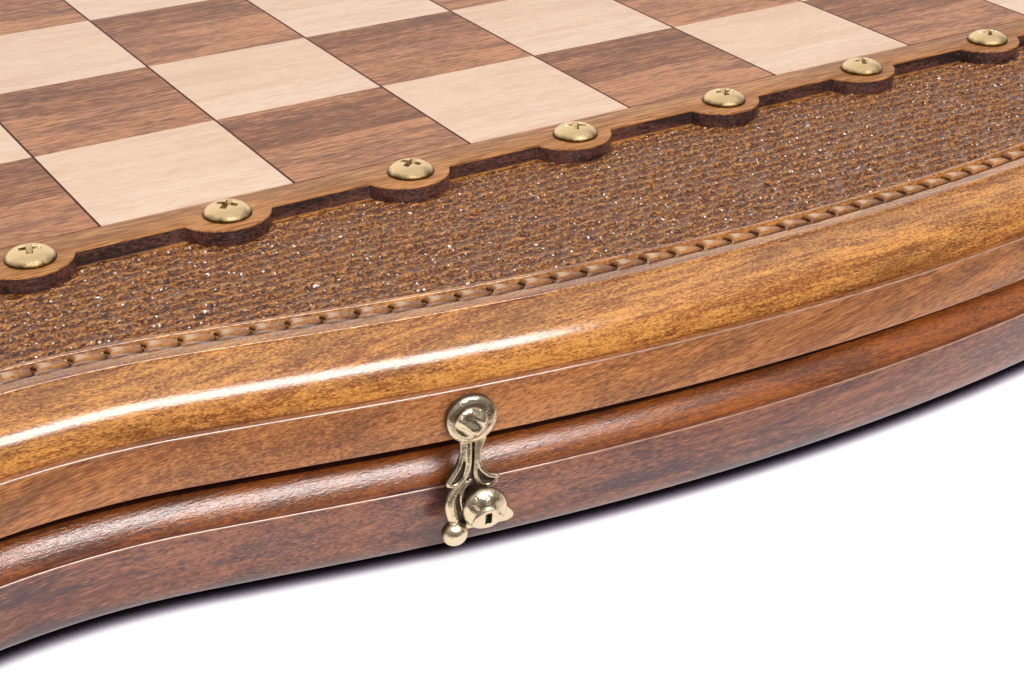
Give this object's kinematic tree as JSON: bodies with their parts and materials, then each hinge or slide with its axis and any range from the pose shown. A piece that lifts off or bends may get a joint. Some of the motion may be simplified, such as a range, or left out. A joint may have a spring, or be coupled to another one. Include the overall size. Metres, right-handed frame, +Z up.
{
  "type": "chess box with hinged lid",
  "caption": "Serpentine-edged wooden chess board that is the hinged lid of a flat felt-lined case, with a carved border, scalloped strip, brass screws and front clasps.",
  "frame": {"origin": "middle of the underside, on the face that the box rests on", "axes": "+Z up, front with the two clasps faces -Y, hinges at +Y"},
  "size_m": [0.5344, 0.5386, 0.0565],
  "materials": {
    "carved_border_wood": "brown-stained beech, carved and gloss lacquered",
    "lid_side_wood": "brown-stained beech, satin lacquer",
    "strip_wood": "light brown stained beech, satin lacquer",
    "base_wood": "dark brown stained beech, gloss lacquer",
    "dark_square_wood": "brown-stained beech, satin lacquer",
    "light_square_wood": "natural beech, satin lacquer",
    "inlay_wood": "dark dyed wood",
    "plywood": "birch plywood",
    "felt": "wool felt",
    "divider_wood": "beech slats, oiled",
    "screw_brass": "polished, with dark recesses",
    "hinge_brass": "brushed",
    "cast_brass": "antiqued casting"
  },
  "bodies": {
    "base": {"base_lining": "felt", "base_rail_back": "base_wood", "base_rail_front": "base_wood", "base_rail_left": "base_wood", "base_rail_right": "base_wood", "base_skirt_back": "base_wood", "base_skirt_front": "base_wood", "base_skirt_left": "base_wood", "base_skirt_right": "base_wood", "bottom_panel": "plywood", "clasp_keeper_left": "cast_brass", "clasp_keeper_right": "cast_brass", "clasp_stud_left": "cast_brass", "clasp_stud_right": "cast_brass", "cross_divider_1": "divider_wood", "cross_divider_2": "divider_wood", "cross_divider_3": "divider_wood", "cross_divider_4": "divider_wood", "cross_divider_5": "divider_wood", "hinge_leaf_base_left": "hinge_brass", "hinge_leaf_base_right": "hinge_brass", "hinge_pin_left": "hinge_brass", "hinge_pin_right": "hinge_brass", "hinge_screws_base": "hinge_brass", "long_divider_1": "divider_wood", "long_divider_2": "divider_wood", "long_divider_3": "divider_wood"},
    "lid": {"clasp_pivot_left": "cast_brass", "clasp_pivot_right": "cast_brass", "column_inlays": "inlay_wood", "dark_squares": "dark_square_wood", "frame_screws": "screw_brass", "hinge_leaf_lid_left": "hinge_brass", "hinge_leaf_lid_right": "hinge_brass", "hinge_screws_lid": "hinge_brass", "lid_border_back": "carved_border_wood", "lid_border_front": "carved_border_wood", "lid_border_left": "carved_border_wood", "lid_border_right": "carved_border_wood", "lid_lining": "felt", "lid_panel": "plywood", "lid_wall_back": "lid_side_wood", "lid_wall_front": "lid_side_wood", "lid_wall_left": "lid_side_wood", "lid_wall_right": "lid_side_wood", "light_squares": "light_square_wood", "scalloped_strip_back": "strip_wood", "scalloped_strip_front": "strip_wood", "scalloped_strip_left": "strip_wood", "scalloped_strip_right": "strip_wood"},
    "latch_left": {"clasp_hook_left": "cast_brass"},
    "latch_right": {"clasp_hook_right": "cast_brass"}
  },
  "joints": [
    {"name": "lid_hinge", "type": "hinge", "parent": "base", "child": "lid", "pos_m": [0, 0.26901, 0.02835], "axis": [-1, 0, 0], "range_deg": [0, 180]},
    {"name": "hook_left_swing", "type": "hinge", "parent": "lid", "child": "latch_left", "pos_m": [-0.091, -0.25958, 0.0339], "axis": [0.1664, 0.9861, 0], "range_deg": [0, 95]},
    {"name": "hook_right_swing", "type": "hinge", "parent": "lid", "child": "latch_right", "pos_m": [0.091, -0.25958, 0.0339], "axis": [-0.1664, 0.9861, 0], "range_deg": [0, 95]}
  ]
}
